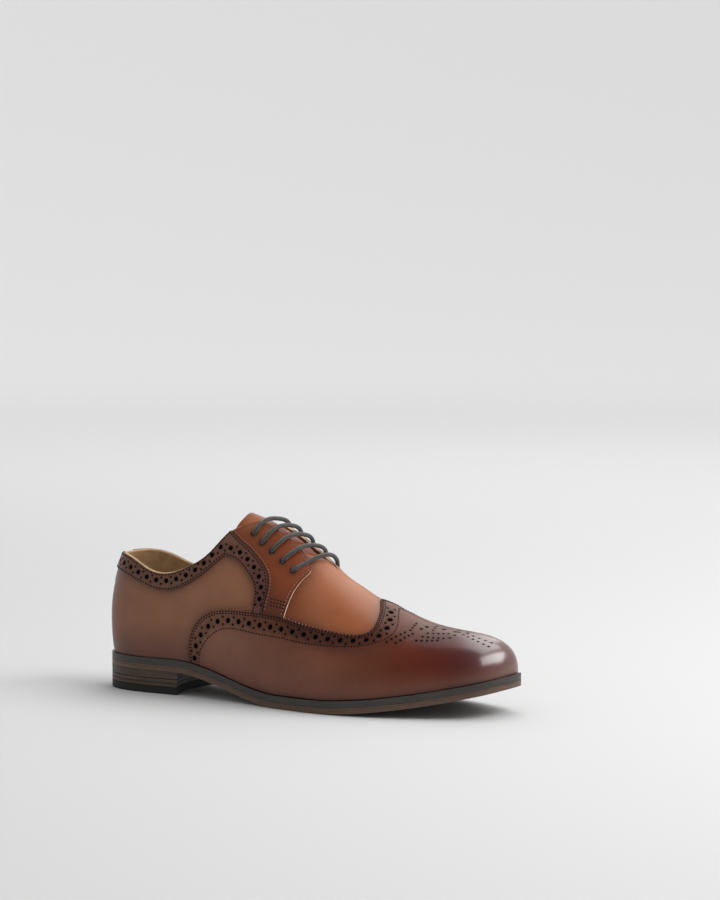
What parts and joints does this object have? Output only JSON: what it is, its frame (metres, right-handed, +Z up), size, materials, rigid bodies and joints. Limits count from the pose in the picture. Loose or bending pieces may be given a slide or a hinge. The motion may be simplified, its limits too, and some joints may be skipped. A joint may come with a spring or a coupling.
{
  "type": "brogue shoe",
  "caption": "Right-foot wingtip brogue in tan, brown and burgundy leather, with punched strips, dark laces in straight bars and a stacked heel.",
  "frame": {"origin": "middle of the heel's ground face", "axes": "+X towards the toe, +Y towards the inner side of the foot, +Z up"},
  "size_m": [0.3035, 0.102, 0.123],
  "materials": {
    "quarter_leather": "satin brown with a soft grain",
    "facing_leather": "polished tan",
    "strip_leather": "satin plum brown",
    "toe_leather": "glossy burgundy",
    "insole_leather": "matte cream",
    "welt_leather": "dark grey edge dressing",
    "sole_leather": "waxed brown edge",
    "heel_rubber": "matte black",
    "lace_cord": "waxed dark grey cotton"
  },
  "bodies": {
    "root": {"upper": "quarter_leather", "wing_cap": "toe_leather", "facing_lateral": "facing_leather", "facing_medial": "facing_leather", "trim_lateral": "strip_leather", "trim_medial": "strip_leather", "backstay": "strip_leather", "tongue": "facing_leather", "insole": "insole_leather", "midsole": "welt_leather", "outsole": "sole_leather", "heel_lift_1": "sole_leather", "heel_lift_2": "sole_leather", "heel_lift_3": "sole_leather", "heel_top_piece": "heel_rubber", "lace": "lace_cord"}
  },
  "joints": []
}
